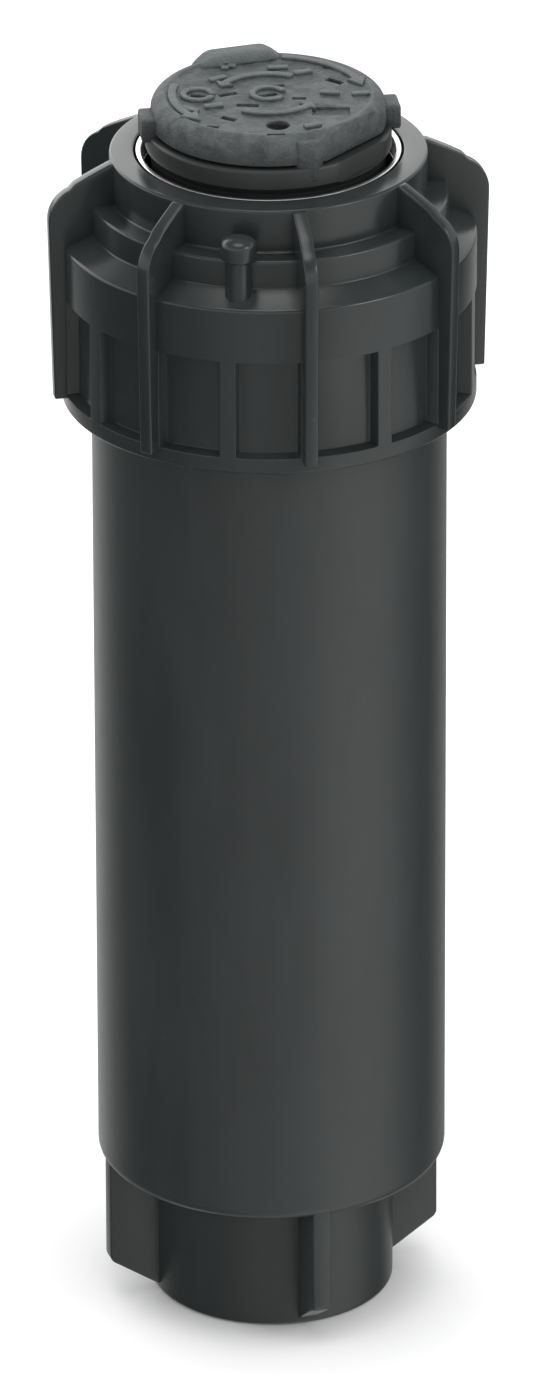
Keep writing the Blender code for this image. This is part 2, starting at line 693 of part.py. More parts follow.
def make_cover():
    edge = 0.0010
    profile = [(0.0, COVER_TOP)] + arc(COVER_R - edge, COVER_TOP - edge, edge, 90, 0, 4)
    profile += [(COVER_R, COVER_FOOT), (0.0, COVER_FOOT)]
    cover = turned("rubber_cover", profile, PARTS, GREY_RUBBER, closed=False, steps=48)
    lobe_top = OVERALL_HEIGHT
    lobe_foot = COVER_TOP - 0.0006
    place = turn(-160.0) @ Matrix.Translation((0.0146, 0.0, (lobe_top + lobe_foot) / 2))
    lobe = block("lobe", (0.0038, 0.0096, lobe_top - lobe_foot), place)
    tabs = [lobe]
    for azimuth in (TAB_TURN, TAB_TURN - 180.0):
        place = turn(azimuth) @ Matrix.Translation((0.0175, 0.0, COVER_FOOT + 0.0012))
        tabs.append(block("tab", (0.0030, 0.0046, 0.0022), place))
    add(cover, joined("cover_lobe", tabs, CUTTERS))
    place = turn(NOZZLE_TURN) @ Matrix.Translation((0.0205, 0.0, COVER_TOP))
    notch = block("notch", (0.0100, 0.0300, 0.0120), place)
    cut(cover, joined("nozzle_notch", [notch], CUTTERS))
    place = Matrix.Translation(spot(ARC_CENTRES, ARC_SET_TURN, COVER_FOOT))
    cut(cover, joined("key_hole", [rod("hole", 0.0019, 0.012, place, 16)], CUTTERS))


make_case()
make_cap()
make_trim_ring()
make_seals()
make_return_spring()
make_riser()
make_ratchet_ring()
make_check_seal()
make_inlet_screen()
make_stator()
make_gears(*make_gearbox())
make_turbine()
make_spindle()
make_trip()
make_turret()
make_nozzle()
make_adjusters()
make_thrust_washer()
make_cover()
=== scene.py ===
import json
import math

import bpy
from mathutils import Matrix, Vector


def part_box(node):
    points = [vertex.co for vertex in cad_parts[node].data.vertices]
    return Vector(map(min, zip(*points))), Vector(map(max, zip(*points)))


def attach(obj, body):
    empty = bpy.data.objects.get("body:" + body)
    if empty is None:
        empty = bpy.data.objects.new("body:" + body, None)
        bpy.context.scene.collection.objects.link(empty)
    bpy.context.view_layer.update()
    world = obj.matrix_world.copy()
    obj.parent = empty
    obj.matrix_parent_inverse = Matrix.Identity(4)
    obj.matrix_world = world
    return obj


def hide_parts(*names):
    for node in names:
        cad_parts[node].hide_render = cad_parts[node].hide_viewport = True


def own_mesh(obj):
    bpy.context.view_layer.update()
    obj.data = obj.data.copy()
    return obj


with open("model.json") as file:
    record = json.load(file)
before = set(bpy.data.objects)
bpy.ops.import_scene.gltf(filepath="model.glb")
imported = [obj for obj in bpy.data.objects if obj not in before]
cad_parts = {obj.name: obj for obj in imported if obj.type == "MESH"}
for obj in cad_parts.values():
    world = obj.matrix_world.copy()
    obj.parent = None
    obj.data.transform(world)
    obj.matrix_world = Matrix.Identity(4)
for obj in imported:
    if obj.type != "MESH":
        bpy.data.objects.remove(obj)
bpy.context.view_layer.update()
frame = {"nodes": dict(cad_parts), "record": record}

# ---- sizes read from the frame, in metres ----
case_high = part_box("body_case")[1]
cap_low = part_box("body_cap")[0]
riser_low, riser_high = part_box("riser_tube")
turret_low, turret_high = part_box("turret_housing")
cover_low, cover_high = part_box("rubber_cover")
ring_low, ring_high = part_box("trim_ring")
spring_low, spring_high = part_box("return_spring")

BODY_R = case_high.x
CASE_RIM = case_high.z
TOP = ring_high.z + 0.0001  # the plane of the cap's upper rim
CAP_FOOT = cap_low.z

# ---- sizes of the moulded details, in metres and degrees ----
# case and inlet
BODY_BORE = BODY_R - 0.00265
BOSS_R = 0.0180
BOSS_FIN_R = 0.0254
BOSS_FIN_THICK = 0.0028
BOSS_FIN_TURN = 17.0
BOSS_DROP = 0.0211
SCREEN_SEAT_R = 0.0105
SCREEN_SEAT_HEIGHT = 0.0165
INLET_R = 0.0126
THREAD_PITCH = 0.0018
THREAD_TURNS = 7
# screw cap
SKIRT_R = 0.0300
COLLAR_R = 0.0229
LEDGE_R = 0.0259
FIN_R = 0.03225
FIN_BEND = 0.0052
FIN_THICK = 0.0020
FIN_ROOT_R = SKIRT_R - 0.0030
FIN_FOOT = CAP_FOOT + 0.0016
SECTORS = 16
STEPS_IN_SECTOR = 12
RIB_TURN = 11.0
POCKET_TOP = TOP - 0.0206
POCKET_FOOT = TOP - 0.0358
POCKET_DEPTH = 0.0019
POST_R = 0.0019
POST_HEAD_R = 0.0026
POST_DOME = 0.0012
POST_SPOT = (0.0267, -9.3)
# riser and spring
RISER_R = 0.0169
RISER_BORE = RISER_R - 0.0016
TRIP_SPOT = (0.0142, -120.0)
TRIP_HOLE_R = 0.0010
WIRE_R = 0.0009
COIL_R = 0.0197
COIL_TURNS = 11
# head
NOZZLE_TURN = 52.0
NOZZLE_RISE = 25.0
NOZZLE_HEIGHT = 0.1652
JET_R = 0.0046
JET_FLAT_R = 0.0168
SPINDLE_BORE = 0.0053
ARC_SPOT = (0.01125, 7.0)
ARC_HOLE_R = 0.0021
RADIUS_SPOT = (0.0120, NOZZLE_TURN)
RADIUS_HOLE_R = 0.0016
COVER_R = 0.0169
COVER_TOP = TOP + 0.0083
COVER_FACE = COVER_TOP - 0.0002
COVER_CHORD_R = 0.0155
MARKED_R = 0.0148
TAB_TURN = 98.0
TAB_REACHES = (0.0189, 0.0186)
TAB_SIZE = (0.0026, 0.0048, 0.0036)
LOBE_TURN = -162.0
LOBE_R = 0.0142
LOBE_THICK = 0.0046
LOBE_HALF_FOOT = 0.0074
LOBE_HALF_TOP = 0.0044
CORNER_DROP = 0.0024


# ---- modelling by hand, in code ----
def clear_selection():
    """Leaves edit mode and selects nothing."""
    if bpy.context.object and bpy.context.object.mode != "OBJECT":
        bpy.ops.object.mode_set(mode="OBJECT")
    bpy.ops.object.select_all(action="DESELECT")


def pick(piece):
    """Selects one piece alone and makes it the active one."""
    clear_selection()
    bpy.context.view_layer.objects.active = piece
    piece.select_set(True)


def edit(piece):
    pick(piece)
    bpy.ops.object.mode_set(mode="EDIT")
    bpy.ops.mesh.select_mode(type="FACE")


def leave_edit():
    bpy.ops.object.mode_set(mode="OBJECT")


def settle(piece):
    """Applies the object's place to its mesh."""
    pick(piece)
    bpy.ops.object.transform_apply(location=True, rotation=True, scale=True)
    return piece


def apply(piece, modifier):
    pick(piece)
    bpy.ops.object.modifier_apply(modifier=modifier.name)


def rounded(piece, width, segments=2, angle=34.0):
    """Rounds off a piece's edges where its faces meet at more than the angle."""
    bevel = piece.modifiers.new("rounding", "BEVEL")
    bevel.width = width
    bevel.segments = segments
    bevel.limit_method = "ANGLE"
    bevel.angle_limit = math.radians(angle)
    bevel.use_clamp_overlap = True
    apply(piece, bevel)
    return piece


def smoothed(piece, angle=32.0):
    """Shades a piece smooth, apart from edges sharper than the angle."""
    pick(piece)
    bpy.ops.object.shade_smooth_by_angle(angle=math.radians(angle))
    return piece


def turned(name, outline, segments=128, solid=False):
    """Draws a round piece out ring by ring along its (radius, height) outline."""
    clear_selection()
    first_r, first_z = outline[0]
    bpy.ops.mesh.primitive_circle_add(vertices=segments, radius=first_r, location=(0, 0, first_z))
    piece = bpy.context.object
    piece.name = name
    settle(piece)
    edit(piece)
    bpy.ops.mesh.select_mode(type="EDGE")
    bpy.ops.mesh.select_all(action="SELECT")
    for (r, z), (next_r, next_z) in zip(outline, outline[1:]):
        bpy.ops.mesh.extrude_edges_move(TRANSFORM_OT_translate={"value": (0, 0, next_z - z)})
        grow = next_r / r
        bpy.ops.transform.resize(value=(grow, grow, 1), center_override=(0, 0, next_z))
    bpy.ops.mesh.select_all(action="DESELECT")
    bpy.ops.mesh.select_non_manifold()
    if solid:
        bpy.ops.mesh.fill_holes(sides=0)
    else:
        bpy.ops.mesh.bridge_edge_loops()
    bpy.ops.mesh.select_all(action="SELECT")
    bpy.ops.mesh.normals_make_consistent(inside=False)
    leave_edit()
    return piece


def arc(centre_r, centre_z, radius, start, end, count=5):
    """Points round a fillet, by angle from outwards towards up, in degrees."""
    angles = [math.radians(start + (end - start) * i / (count - 1)) for i in range(count)]
    return [(centre_r + radius * math.cos(a), centre_z + radius * math.sin(a)) for a in angles]


def turn(azimuth):
    """Carries +X to a direction counted from the front, positive to the right."""
    return Matrix.Rotation(math.radians(azimuth - 90.0), 4, "Z")


def spot(radius, azimuth, height):
    """A point by its distance from the main axis, its direction and its height."""
    angle = math.radians(azimuth)
    return Vector((radius * math.sin(angle), -radius * math.cos(angle), height))


def blade(name, outline, thickness, place=Matrix(), rounding=0.0003):
    """A flat web with the outline's (across, up) shape, standing in the XZ plane."""
    clear_selection()
    bpy.ops.mesh.primitive_circle_add(vertices=len(outline), radius=0.01, fill_type="NGON")
    piece = bpy.context.object
    piece.name = name
    for vertex, (across, up) in zip(piece.data.vertices, outline):
        vertex.co = (across, -thickness / 2, up)
    edit(piece)
    bpy.ops.mesh.select_all(action="SELECT")
    bpy.ops.mesh.extrude_region_move(TRANSFORM_OT_translate={"value": (0, thickness, 0)})
    bpy.ops.mesh.select_all(action="SELECT")
    bpy.ops.mesh.normals_make_consistent(inside=False)
    leave_edit()
    if rounding:
        rounded(piece, rounding, 3, 25.0)
    piece.data.transform(place)
    return piece


def block(name, size, place=Matrix(), rounding=0.0):
    """A box of the given size about its middle."""
    clear_selection()
    bpy.ops.mesh.primitive_cube_add(size=1)
    piece = bpy.context.object
    piece.name = name
    piece.scale = size
    settle(piece)
    if rounding:
        rounded(piece, rounding, 3)
    piece.data.transform(place)
    return piece


def peg(name, radius, length, place, sides):
    """A round bar about its middle, along Z before it is placed."""
    clear_selection()
    bpy.ops.mesh.primitive_cylinder_add(vertices=sides, radius=radius, depth=length)
    piece = bpy.context.object
    piece.name = name
    piece.data.transform(place)
    return piece


def wound(name, sides, section_r, coil_r, low, pitch, turns, steps):
    """A bar wound round the main axis, its ends closed."""
    clear_selection()
    bpy.ops.mesh.primitive_circle_add(vertices=sides, radius=section_r, location=(coil_r, 0, low))
    coil = bpy.context.object
    coil.name = name
    coil.rotation_euler = (math.radians(90), 0, 0)
    settle(coil)
    wind = coil.modifiers.new("wind", "SCREW")
    wind.steps = steps
    wind.render_steps = steps
    wind.screw_offset = pitch
    wind.iterations = turns
    apply(coil, wind)
    edit(coil)
    bpy.ops.mesh.select_mode(type="EDGE")
    bpy.ops.mesh.select_all(action="DESELECT")
    bpy.ops.mesh.select_non_manifold()
    bpy.ops.mesh.fill_holes(sides=0)
    bpy.ops.mesh.select_all(action="SELECT")
    bpy.ops.mesh.normals_make_consistent(inside=False)
    leave_edit()
    return smoothed(coil, 50.0)


def copies(piece, angles):
    """The piece and its copies, turned about the main axis, each with its own mesh."""
    made = []
    for angle in angles:
        other = piece.copy()
        other.data = piece.data.copy()
        other.data.transform(Matrix.Rotation(math.radians(angle), 4, "Z"))
        bpy.context.scene.collection.objects.link(other)
        made.append(other)
    bpy.data.objects.remove(piece)
    return made


def joined(name, pieces):
    """Makes several pieces one object; parts of one moulding stay closed shells inside it."""
    clear_selection()
    for piece in pieces:
        piece.select_set(True)
    bpy.context.view_layer.objects.active = pieces[0]
    if len(pieces) > 1:
        bpy.ops.object.join()
    pieces[0].name = name
    return pieces[0]


def cut(piece, tool):
    """Takes the tool's shape out of the piece."""
    carve = piece.modifiers.new("carve", "BOOLEAN")
    carve.operation = "DIFFERENCE"
    carve.object = tool
    carve.solver = "EXACT"
    apply(piece, carve)
    bpy.data.objects.remove(tool)


def around(count, start=0.0):
    """Angles of evenly spaced pieces."""
    return [start + 360.0 * i / count for i in range(count)]


def lift(height):
    return Matrix.Translation((0, 0, height))


def fitted(piece, body, slot, finish, *nodes):
    """Gives a finished piece its finish and its body, and hides the CAD nodes it stands for."""
    piece.data.materials.clear()
    piece.data.materials.append(finish)
    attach(piece, body)
    if nodes:
        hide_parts(*nodes)
    return piece


# ---- finishes ----
class Value:
    """A number or colour inside a finish, so that sums on it read as sums."""

    def __init__(self, tree, socket):
        self.tree = tree
        self.socket = socket

    def _maths(self, operation, first, second):
        return self.tree.node("ShaderNodeMath", {"operation": operation}, {0: first, 1: second})

    def __add__(self, other):
        return self._maths("ADD", self, other)

    __radd__ = __add__

    def __mul__(self, other):
        return self._maths("MULTIPLY", self, other)

    __rmul__ = __mul__

    def __sub__(self, other):
        return self._maths("SUBTRACT", self, other)

    def __rsub__(self, other):
        return self._maths("SUBTRACT", other, self)

    def __truediv__(self, other):
        return self._maths("DIVIDE", self, other)

    def between(self, low, high):
        """0 below low, 1 above high, smooth in the middle."""
        settings = {"interpolation_type": "SMOOTHSTEP"}
        return self.tree.node(
            "ShaderNodeMapRange", settings, {"Value": self, "From Min": low, "From Max": high}
        )


class Tree:
    """The nodes of a finish or of the room."""

    def __init__(self, owner):
        owner.use_nodes = True
        self.nodes = owner.node_tree.nodes
        self.links = owner.node_tree.links

    def node(self, kind, settings=None, inputs=None, output=0):
        made = self.nodes.new(kind)
        for key, value in (settings or {}).items():
            if key == "stops":
                self._stops(made.color_ramp, value)
            else:
                setattr(made, key, value)
        for key, value in (inputs or {}).items():
            self.feed(made.inputs[key], value)
        return Value(self, made.outputs[output])

    def _stops(self, ramp, stops):
        while len(ramp.elements) > 1:
            ramp.elements.remove(ramp.elements[-1])
        for i, (where, colour) in enumerate(stops):
            stop = ramp.elements[0] if i == 0 else ramp.elements.new(where)
            stop.position = where
            stop.color = (*colour, 1.0)

    def feed(self, socket, value):
        if isinstance(value, Value):
            self.links.new(value.socket, socket)
        else:
            socket.default_value = value

    def mix(self, share, first, second):
        settings = {"data_type": "RGBA"}
        inputs = {0: share, 6: first, 7: second}
        return self.node("ShaderNodeMix", settings, inputs, output=2)

    def place(self):
        return self.node("ShaderNodeTexCoord", output="Object")

    def speckle(self, where, size, detail=3.0, roughness=0.5):
        """Soft random marks about size metres across."""
        inputs = {"Vector": where, "Scale": 1.0 / size, "Detail": detail, "Roughness": roughness}
        return self.node("ShaderNodeTexNoise", None, inputs)

    def stretched(self, where, scale):
        """A pattern's place, scaled along each axis; a small scale draws the pattern out."""
        return self.node("ShaderNodeMapping", None, {"Vector": where, "Scale": scale})


class Finish(Tree):
    """A material built round its main shader."""

    def __init__(self, name):
        self.material = bpy.data.materials.new(name)
        super().__init__(self.material)
        self.shader = self.nodes["Principled BSDF"]

    def set(self, **values):
        for key, value in values.items():
            self.feed(self.shader.inputs[key.replace("_", " ").title()], value)

    def bump(self, height, strength, distance):
        inputs = {"Height": height, "Strength": strength, "Distance": distance}
        self.feed(self.shader.inputs["Normal"], self.node("ShaderNodeBump", None, inputs))


DUST = (0.16, 0.165, 0.16, 1.0)


def shade(colour, factor):
    """The colour made lighter or darker."""
    return tuple(min(channel * factor, 1.0) for channel in colour[:3]) + (1.0,)


def moulded_plastic(name, colour, roughness, grain=0.00022, mottle=0.10):
    """Spark-grained moulded plastic with faint flow marks and a dusting on it."""
    finish = Finish(name)
    where = finish.place()
    grains = finish.speckle(where, grain, 2.0)
    flow = finish.speckle(finish.stretched(where, (1.0, 1.0, 0.22)), 0.009, 4.0, 0.6)
    dust = finish.speckle(where, 0.0028, 6.0, 0.7)
    tint = finish.mix(flow.between(0.3, 0.7), shade(colour, 1 - mottle), shade(colour, 1 + mottle))
    tint = finish.mix(dust.between(0.62, 0.82) * 0.12, tint, DUST)
    finish.set(base_color=tint)
    finish.set(roughness=roughness + (flow - 0.5) * 0.10 + (dust - 0.5) * 0.10)
    finish.bump(grains + flow * 0.6, 0.22, 0.00006)
    return finish.material


def soft_rubber(name, colour, roughness, foot=None, face=None):
    """Matte rubber, cloudy and pitted; given its heights, painted shade darkens it low down and in its
    sunk marks, and a painted highlight lightens its raised marks.
    """
    finish = Finish(name)
    where = finish.place()
    pits = finish.speckle(where, 0.0004, 3.0)
    cloud = finish.speckle(where, 0.0024, 5.0, 0.66)
    bloom = finish.speckle(where, 0.0009, 4.0, 0.7)
    tint = finish.mix(cloud.between(0.34, 0.66), shade(colour, 0.62), shade(colour, 1.28))
    tint = finish.mix(bloom.between(0.58, 0.76) * 0.3, tint, shade(colour, 1.9))
    if face:
        height = finish.node("ShaderNodeSeparateXYZ", None, {0: where}, output=2)
        level = finish.stretched(where, (1.0, 1.0, 0.0))
        radius = finish.node("ShaderNodeVectorMath", {"operation": "LENGTH"}, {0: level}, output=1)
        inner = 1 - radius.between(MARKED_R, MARKED_R + 0.0006)
        # painted shade: inside the marked face, the slots and hollows below it are darkened to stand for
        # the shade that falls in them
        sunk = (1 - height.between(face - 0.0006, face - 0.0001)) * inner
        # painted highlight: inside the marked face, the raised marks are lightened to stand for the light
        # catching their tops
        painted_mark_highlight = height.between(face + 0.0001, face + 0.0004) * inner
        # painted highlight on the raised marks
        tint = finish.mix(painted_mark_highlight * 0.55, tint, shade(colour, 1.75))
        # painted shade in the sunk marks
        tint = finish.mix(sunk * 0.85, tint, shade(colour, 0.18))
        # painted shade: the cover's side is darkened towards its foot, where it sits over the turret
        tint = finish.mix(height.between(foot - 0.001, foot + 0.0036), shade(colour, 0.55), tint)
    finish.set(base_color=tint)
    finish.set(roughness=roughness + (cloud - 0.5) * 0.16)
    finish.bump(pits + cloud * 2.2 + bloom * 1.2, 0.6, 0.00025)
    return finish.material


def bright_metal(name, colour, roughness):
    """Polished stainless steel with fine turning lines."""
    finish = Finish(name)
    where = finish.place()
    lines = finish.speckle(finish.stretched(where, (1.0, 1.0, 9.0)), 0.0006, 2.0)
    smudge = finish.speckle(where, 0.004, 3.0)
    finish.set(base_color=finish.mix(smudge.between(0.3, 0.7), shade(colour, 0.9), shade(colour, 1.06)))
    finish.set(roughness=roughness + smudge * 0.08 + lines * 0.05)
    finish.set(metallic=1.0)
    finish.bump(lines, 0.10, 0.00002)
    return finish.material


black_plastic = moulded_plastic("black_plastic", (0.0235, 0.0275, 0.0275), 0.33)
cap_plastic = moulded_plastic("cap_plastic", (0.0185, 0.0225, 0.0225), 0.22, 0.00030)
turret_plastic = moulded_plastic("turret_plastic", (0.017, 0.019, 0.019), 0.42)
grey_rubber = soft_rubber("grey_rubber", (0.058, 0.066, 0.068), 0.62, cover_low.z, COVER_FACE)
black_rubber = soft_rubber("black_rubber", (0.018, 0.018, 0.019), 0.62)
bright_steel = bright_metal("bright_steel", (0.80, 0.80, 0.81), 0.16)
spring_steel = bright_metal("spring_steel", (0.52, 0.52, 0.54), 0.26)
white_acetal = moulded_plastic("white_acetal", (0.74, 0.73, 0.69), 0.38, 0.0003, 0.03)
grey_plastic = moulded_plastic("grey_plastic", (0.20, 0.21, 0.23), 0.44)
nozzle_plastic = moulded_plastic("nozzle_plastic", (0.045, 0.085, 0.20), 0.34)

SLOT_FINISHES = {
    "case_plastic": black_plastic,
    "cap_plastic": cap_plastic,
    "grey_rubber": grey_rubber,
    "black_rubber": black_rubber,
    "bright_steel": bright_steel,
    "spring_steel": spring_steel,
    "white_acetal": white_acetal,
    "grey_plastic": grey_plastic,
    "nozzle_plastic": nozzle_plastic,
}


def finish_carried_over_nodes():
    """Gives every CAD node the finish of its own slot."""
    for entry in frame["record"]["subparts"]:
        node = frame["nodes"][entry["node"]]
        node.data.materials.clear()
        node.data.materials.append(SLOT_FINISHES[entry["material_slot"]])


# ---- outer case ----
def make_case():
    """The tube with its rounded lower edge, and the inlet boss with four fins."""
    edge = 0.0020
    floor = BOSS_DROP + 0.0029
    seat_r, seat_height = SCREEN_SEAT_R, SCREEN_SEAT_HEIGHT
    outline = [(BODY_BORE + 0.0002, CASE_RIM), (BODY_R - 0.0002, CASE_RIM), (BODY_R, CASE_RIM - 0.0003)]
    outline += arc(BODY_R - edge, BOSS_DROP + edge, edge, 0, -90, 9)
    outline += [(BOSS_R + 0.0005, BOSS_DROP)]
    outline += arc(BOSS_R + 0.0005, BOSS_DROP - 0.0005, 0.0005, 90, 180, 4)
    outline += [(BOSS_R, 0.0008)] + arc(BOSS_R - 0.0006, 0.0006, 0.0006, 0, -90, 4)
    outline += [(INLET_R + 0.0007, 0.0), (INLET_R, 0.0007), (INLET_R, seat_height), (seat_r, seat_height)]
    outline += [(seat_r, floor), (BODY_BORE - 0.001, floor), (BODY_BORE, floor + 0.001)]
    shell = smoothed(turned("case_tube", outline, 192))
    root = BOSS_R - 0.0020
    web = [(root, 0.0010), (BOSS_R, 0.0010), (BOSS_FIN_R - 0.0004, 0.0057), (BOSS_FIN_R, 0.0064)]
    web += [(BOSS_FIN_R, BOSS_DROP + 0.0010), (root, BOSS_DROP + 0.0010)]
    fin = blade("boss_fin", web, BOSS_FIN_THICK)
    fins = copies(fin, [a - 90 for a in around(4, BOSS_FIN_TURN)])
    for piece in fins:
        smoothed(piece)
    case = joined("case_shell", [shell] + fins)
    fitted(case, "case", "case_plastic", black_plastic, "body_case")


def make_inlet_thread():
    """The female pipe thread, as a ridge that climbs the inlet bore."""
    ridge = 0.00085
    thread = wound("inlet_thread", 3, ridge, INLET_R - 0.0001, 0.0016, THREAD_PITCH, THREAD_TURNS, 48)
    fitted(thread, "case", "case_plastic", black_plastic)


# ---- screw cap ----
def make_cap():
    """Collar, ledge and skirt with sunk panels, eight tall fins and the index post."""
    segments = SECTORS * STEPS_IN_SECTOR
    step = 360.0 / segments
    bore = BODY_R + 0.0006
    lip_r = 0.0194
    seal_seat_r = 0.0180
    outline = [(lip_r, TOP - 0.0002), (lip_r + 0.0002, TOP), (COLLAR_R - 0.0004, TOP - 0.0002)]
    outline += arc(COLLAR_R - 0.0004, TOP - 0.0006, 0.0004, 80, 0, 4)
    outline += [(COLLAR_R - 0.0001, TOP - 0.0064)]
    outline += arc(COLLAR_R + 0.0002, TOP - 0.0064, 0.0003, 180, 270, 3)
    outline += arc(LEDGE_R - 0.0004, TOP - 0.0071, 0.0004, 90, 0, 4)
    outline += [(LEDGE_R, TOP - 0.0108)] + arc(LEDGE_R + 0.0003, TOP - 0.0108, 0.0003, 180, 250, 3)
    outline += arc(SKIRT_R - 0.0006, TOP - 0.0131, 0.0006, 70, 0, 5)
    outline += [(SKIRT_R, POCKET_TOP), (SKIRT_R, POCKET_FOOT), (SKIRT_R, CAP_FOOT + 0.0004)]
    outline += arc(SKIRT_R - 0.0004, CAP_FOOT + 0.0004, 0.0004, -20, -90, 3)
    outline += [(bore + 0.0003, CAP_FOOT), (bore, CAP_FOOT + 0.0004), (bore, TOP - 0.0136)]
    outline += [(0.0225, TOP - 0.0136), (0.0214, TOP - 0.0056), (seal_seat_r, TOP - 0.0050)]
    outline += [(seal_seat_r, TOP - 0.0028), (lip_r, TOP - 0.0028)]
    shell = turned("cap_skirt", outline, segments)
    edit(shell)
    bpy.ops.mesh.select_all(action="DESELECT")
    leave_edit()
    middle = (POCKET_TOP + POCKET_FOOT) / 2
    sector = 360.0 / SECTORS
    for face in shell.data.polygons:
        x, y, z = face.center
        along = math.degrees(math.atan2(y, x)) % sector
        on_skirt = math.hypot(x, y) > SKIRT_R - 0.0005 and abs(z - middle) < 0.004
        face.select = on_skirt and step < along < sector - step
    edit(shell)
    bpy.ops.mesh.inset(thickness=0.0002, depth=0.0, use_even_offset=True)
    bpy.ops.mesh.inset(thickness=0.0002, depth=-POCKET_DEPTH, use_even_offset=True)
    leave_edit()
    rounded(shell, 0.00018, 2, 38.0)
    smoothed(shell, 36.0)
    root = 0.0216
    web = [(root, TOP - 0.0050), (root, TOP - 0.0004), (0.0232, TOP - 0.0004)]
    web += [(0.0264, TOP - 0.0020), (0.0284, TOP - 0.0031)]
    web += arc(FIN_R - FIN_BEND, TOP - 0.0087, FIN_BEND, 66, 0, 9)
    web += [(FIN_R - 0.0006, FIN_FOOT), (FIN_ROOT_R, FIN_FOOT)]
    web += [(FIN_ROOT_R, TOP - 0.0145), (0.0245, TOP - 0.0100)]
    fin = blade("cap_fin", web, FIN_THICK, rounding=0.00028)
    fins = copies(fin, around(8))
    for piece in fins:
        smoothed(piece)
    cap = joined("cap_shell", [shell] + fins)
    cap.data.transform(turn(RIB_TURN))
    post = make_index_post()
    cap = joined("cap_shell", [cap, post])
    fitted(cap, "case", "cap_plastic", cap_plastic, "body_cap")


def make_index_post():
    """An upright peg with a domed head, moulded on the cap's shoulder."""
    neck = TOP - 0.0060
    brim = TOP - 0.0038
    outline = [(POST_R, TOP - 0.0140), (POST_R, neck - 0.0003), (POST_HEAD_R - 0.0003, neck)]
    outline += arc(POST_HEAD_R - 0.0004, neck + 0.0004, 0.0004, -70, 0, 4)
    dome = (0.0, 0.3, 0.6, 0.9, 1.15, 1.35, 1.5)
    outline += [(POST_HEAD_R * math.cos(a), brim + POST_DOME * math.sin(a)) for a in dome]
    post = turned("index_post", outline, 40, solid=True)
    post.data.transform(Matrix.Translation(spot(*POST_SPOT, 0.0)))
    return smoothed(post, 50.0)


def make_trim_ring():
    """The thin bright ring that lines the cap's opening."""
    foot, top = ring_low.z, ring_high.z
    inner_r, outer_r = 0.0182, 0.0191
    outline = [(inner_r, foot), (inner_r, top - 0.0003)]
    outline += arc(inner_r + 0.0003, top - 0.0003, 0.0003, 180, 90, 4)
    outline += arc(outer_r - 0.0002, top - 0.0002, 0.0002, 90, 0, 3) + [(outer_r, foot)]
    ring = smoothed(turned("bright_ring", outline, 160))
    fitted(ring, "case", "bright_steel", bright_steel, "trim_ring")


# ---- riser ----
def make_riser():
    """The sliding stem, with a flange at its foot and a roof that the spindle comes through."""
    foot, top = riser_low.z, riser_high.z
    flange = riser_high.x
    roof_bore = SPINDLE_BORE + 0.0001
    outline = [(roof_bore, top), (RISER_R - 0.0006, top)]
    outline += arc(RISER_R - 0.0006, top - 0.0006, 0.0006, 80, 0, 4)
    outline += [(RISER_R, foot + 0.0031), (RISER_R + 0.0004, foot + 0.0027)]
    outline += [(flange - 0.0003, foot + 0.0027), (flange, foot + 0.0024), (flange, foot)]
    outline += [(RISER_BORE, foot), (RISER_BORE, top - 0.0050)]
    outline += [(0.0100, top - 0.0030), (roof_bore, top - 0.0030)]
    stem = turned("riser_stem", outline, 160)
    place = Matrix.Translation(spot(*TRIP_SPOT, top - 0.003))
    cut(stem, peg("trip_hole", TRIP_HOLE_R, 0.012, place, 24))
    smoothed(stem)
    fitted(stem, "riser", "case_plastic", turret_plastic, "riser_tube")


def make_spring():
    """The return spring, wound as one fixed coil with a mesh of its own; the real spring shortens towards
    the cap as the riser lifts.
    """
    low = spring_low.z + WIRE_R
    pitch = (spring_high.z - WIRE_R - low) / COIL_TURNS
    spring = wound("spring_coil", 12, WIRE_R, COIL_R, low, pitch, COIL_TURNS, 64)
    fitted(spring, "case", "spring_steel", spring_steel, "return_spring")
    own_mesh(spring)


# ---- head ----
def make_turret():
    """The turning head under the cover, with its jet and the holes for the two adjusters."""
    foot, top = turret_low.z, turret_high.z
    flange = 0.0177
    outline = [(flange - 0.0006, top)] + arc(flange - 0.0005, top - 0.0005, 0.0005, 80, 0, 4)
    outline += [(flange, TOP + 0.0009), (RISER_R, TOP - 0.0002), (RISER_R, foot + 0.0005)]
    outline += arc(RISER_R - 0.0005, foot + 0.0005, 0.0005, -20, -90, 3)
    outline += [(SPINDLE_BORE, foot), (SPINDLE_BORE, foot + 0.0020), (RISER_BORE, foot + 0.0020)]
    outline += [(RISER_BORE, top - 0.0056), (0.0010, top - 0.0036)]
    turret = turned("turret_shell", outline, 160, solid=True)
    rise = Matrix.Rotation(math.radians(90.0 - NOZZLE_RISE), 4, "Y")
    jet = lift(NOZZLE_HEIGHT) @ turn(NOZZLE_TURN) @ rise
    cut(turret, peg("jet_bore", JET_R, 0.012, jet @ lift(0.0155), 64))
    for where, size in ((ARC_SPOT, ARC_HOLE_R), (RADIUS_SPOT, RADIUS_HOLE_R)):
        place = Matrix.Translation(spot(*where, top - 0.003))
        cut(turret, peg("adjuster_hole", size, 0.010, place, 32))
    place = turn(NOZZLE_TURN) @ Matrix.Translation((JET_FLAT_R + 0.005, 0.0, top))
    cut(turret, block("jet_flat", (0.0100, 0.0300, 0.0064), place))
    rounded(turret, 0.0002, 2, 50.0)
    smoothed(turret)
    fitted(turret, "turret", "case_plastic", turret_plastic, "turret_housing")


# (radius, azimuth, size) of the round holes in the cover
KEY_HOLES = ((*ARC_SPOT, 0.0017), (0.0136, 141.0, 0.0008))
